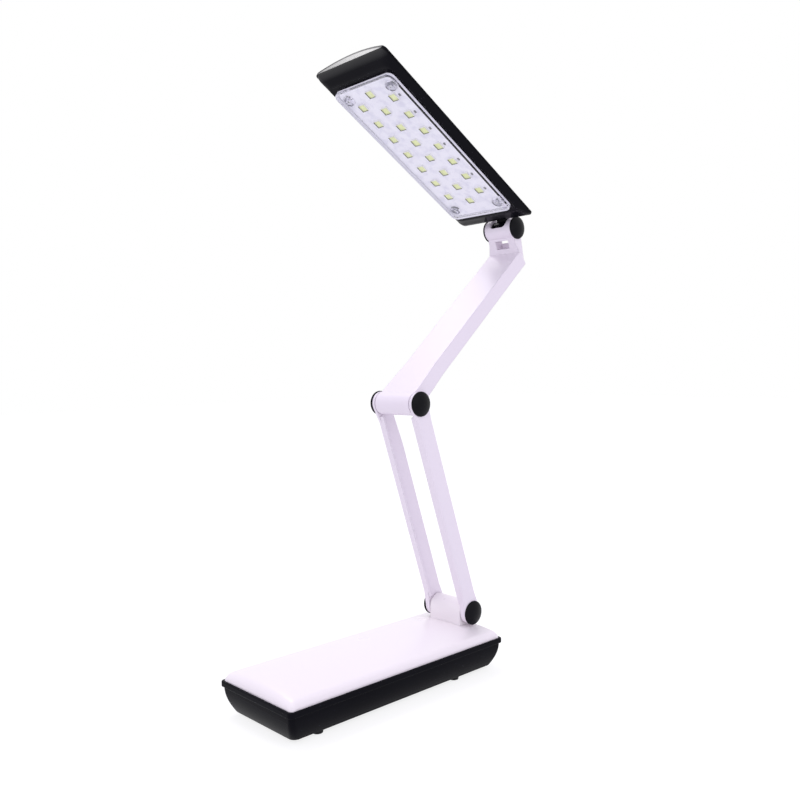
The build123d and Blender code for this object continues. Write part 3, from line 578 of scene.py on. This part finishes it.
# Dark olive for the cup walls is painted shade; the package itself is white.
cup_wall_painted_shade = moulding(
    "cup_wall_painted_shade", colour=(0.02, 0.022, 0.01), drifted=(0.03, 0.033, 0.015), rubbed=(0.03, 0.033, 0.02),
    gloss=0.4, haze=0.55, shine=0.3, grain_size=0.001, grain_depth=0.00001, edge=0.00005,
)
led_resin = moulding(
    "led_resin", colour=(0.88, 0.96, 0.36), drifted=(0.9, 0.97, 0.45), rubbed=(0.9, 0.96, 0.55),
    gloss=0.25, haze=0.4, shine=0.5, grain_size=0.0006, grain_depth=0.00001, edge=0.0001,
)
package = chip_block("led_packages", led_size, 0.0, led_height)
cup_slot = 1
package.data.materials.append(package_white)
package.data.materials.append(cup_wall_painted_shade)
bpy.ops.mesh.inset(thickness=led_rim, depth=0.0)
bpy.ops.mesh.extrude_region_move(TRANSFORM_OT_translate={"value": (0.0, 0.0, -cup_depth)})
bpy.ops.mesh.select_more()
# The cup's wall and floor take the dark colour, painted shade.
package.active_material_index = cup_slot
bpy.ops.object.material_slot_assign()
led_packages = set_out(package)
led_packages.name = "led_packages"
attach(led_packages, "head")
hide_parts("leds")
resin = chip_block("led_pools", led_size - 2 * led_rim, led_height - cup_depth, resin_top)
resin.data.materials.append(led_resin)
bpy.ops.mesh.inset(thickness=resin_rim, depth=0.0)
bpy.ops.transform.translate(value=(0.0, 0.0, -resin_dip))
led_pools = set_out(resin)
led_pools.name = "led_pools"
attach(led_pools, "head")
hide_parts("led_windows")


# Resistors: tiny grey ceramic chips soldered on the board beside the near column of
# LEDs. Their edges are paler than their faces.
resistor_chip = moulding(
    "resistor_chip", colour=(0.11, 0.11, 0.12), drifted=(0.15, 0.15, 0.16), rubbed=(0.4, 0.4, 0.42),
    gloss=0.4, haze=0.6, shine=0.4, grain_size=0.0005, grain_depth=0.00001, edge=0.0001,
)
dress("resistors", resistor_chip)


# Studio: a white floor that keeps the lamp's soft shadow, a white world, soft panels
# of light, and the camera at the photograph's place.
def direct_rays(tree):
    """Share that is 1 for what is seen straight, in a mirror or through glass."""
    path = tree.nodes.new("ShaderNodeLightPath")
    seen = path.outputs["Is Camera Ray"]
    for kind in ("Is Glossy Ray", "Is Transmission Ray"):
        either = tree.nodes.new("ShaderNodeMath")
        either.operation = "MAXIMUM"
        tree.links.new(seen, either.inputs[0])
        tree.links.new(path.outputs[kind], either.inputs[1])
        seen = either.outputs["Value"]
    return seen


floor_size = 8.0
floor_tone = (0.8, 0.8, 0.8, 1.0)
shadow_tone = (0.3, 0.3, 0.3, 1.0)
floor_glow = 0.8
bpy.ops.object.select_all(action="DESELECT")
bpy.ops.mesh.primitive_plane_add(size=floor_size)
floor = bpy.context.object
floor.name = "studio_floor"
floor_finish = bpy.data.materials.new("studio_floor")
floor_finish.use_nodes = True
tree = floor_finish.node_tree
tree.nodes.clear()
output = tree.nodes.new("ShaderNodeOutputMaterial")
diffuse = tree.nodes.new("ShaderNodeBsdfDiffuse")
diffuse.inputs["Color"].default_value = floor_tone
faint = tree.nodes.new("ShaderNodeBsdfDiffuse")
faint.inputs["Color"].default_value = shadow_tone
glow = tree.nodes.new("ShaderNodeEmission")
glow.inputs["Strength"].default_value = floor_glow
lit = tree.nodes.new("ShaderNodeAddShader")
seen = tree.nodes.new("ShaderNodeMixShader")
tree.links.new(faint.outputs["BSDF"], lit.inputs[0])
tree.links.new(glow.outputs["Emission"], lit.inputs[1])
tree.links.new(direct_rays(tree), seen.inputs["Fac"])
tree.links.new(diffuse.outputs["BSDF"], seen.inputs[1])
tree.links.new(lit.outputs["Shader"], seen.inputs[2])
tree.links.new(seen.outputs["Shader"], output.inputs["Surface"])
floor.data.materials.append(floor_finish)

ambient_tone = (0.93, 0.908, 1.04, 1.0)
ambient_level = 0.87
pure_white = (1.0, 1.0, 1.0, 1.0)
world = bpy.data.worlds.new("studio_white")
bpy.context.scene.world = world
world.use_nodes = True
tree = world.node_tree
tree.nodes.clear()
output = tree.nodes.new("ShaderNodeOutputWorld")
ambient = tree.nodes.new("ShaderNodeBackground")
ambient.inputs["Color"].default_value = ambient_tone
ambient.inputs["Strength"].default_value = ambient_level
white = tree.nodes.new("ShaderNodeBackground")
white.inputs["Color"].default_value = pure_white
seen = tree.nodes.new("ShaderNodeMixShader")
tree.links.new(direct_rays(tree), seen.inputs["Fac"])
tree.links.new(ambient.outputs["Background"], seen.inputs[1])
tree.links.new(white.outputs["Background"], seen.inputs[2])
tree.links.new(seen.outputs["Shader"], output.inputs["Surface"])


panel_tone = (1.0, 0.98, 1.0)
lamp_middle = Vector((0.0, 0.0, 0.2))


def soft_panel(name, place, size, power):
    """Square panel of light turned to the middle of the lamp."""
    lamp = bpy.data.lights.new(name, "AREA")
    lamp.size = size
    lamp.energy = power
    lamp.color = panel_tone
    panel = bpy.data.objects.new(name, lamp)
    panel.location = place
    panel.rotation_euler = (lamp_middle - panel.location).to_track_quat("-Z", "Y").to_euler()
    bpy.context.scene.collection.objects.link(panel)


soft_panel("back_panel", place=(0.0, 0.65, 1.42), size=0.65, power=5.6)
soft_panel("left_panel", place=(-1.0, 0.1, 0.5), size=0.8, power=0.8)
soft_panel("front_panel", place=(-0.1, -1.1, 0.7), size=0.9, power=2.2)

# The camera stands left of the base's free end, a little above the middle of the lamp
camera_place = Vector((-0.405334, -0.43362, 0.2238))
camera_yaw = radians(46.824)
camera_pitch = radians(-2.503)
camera_roll = radians(-1.116)
camera_lens = 38.065
film_width = 36.0
nearest = 0.01
ahead = Vector((cos(camera_yaw) * cos(camera_pitch), sin(camera_yaw) * cos(camera_pitch), sin(camera_pitch)))
level = Vector((sin(camera_yaw), -cos(camera_yaw), 0.0))
upward = level.cross(ahead)
across = level * cos(camera_roll) + upward * sin(camera_roll)
upright = upward * cos(camera_roll) - level * sin(camera_roll)
view = bpy.data.cameras.new("studio_camera")
view.lens = camera_lens
view.sensor_width = film_width
view.sensor_fit = "HORIZONTAL"
view.clip_start = nearest
camera = bpy.data.objects.new("studio_camera", view)
bpy.context.scene.collection.objects.link(camera)
turn = Matrix((across, upright, -ahead)).transposed().to_4x4()
camera.matrix_world = Matrix.Translation(camera_place) @ turn
bpy.context.scene.camera = camera
bpy.context.scene.view_settings.view_transform = "Standard"
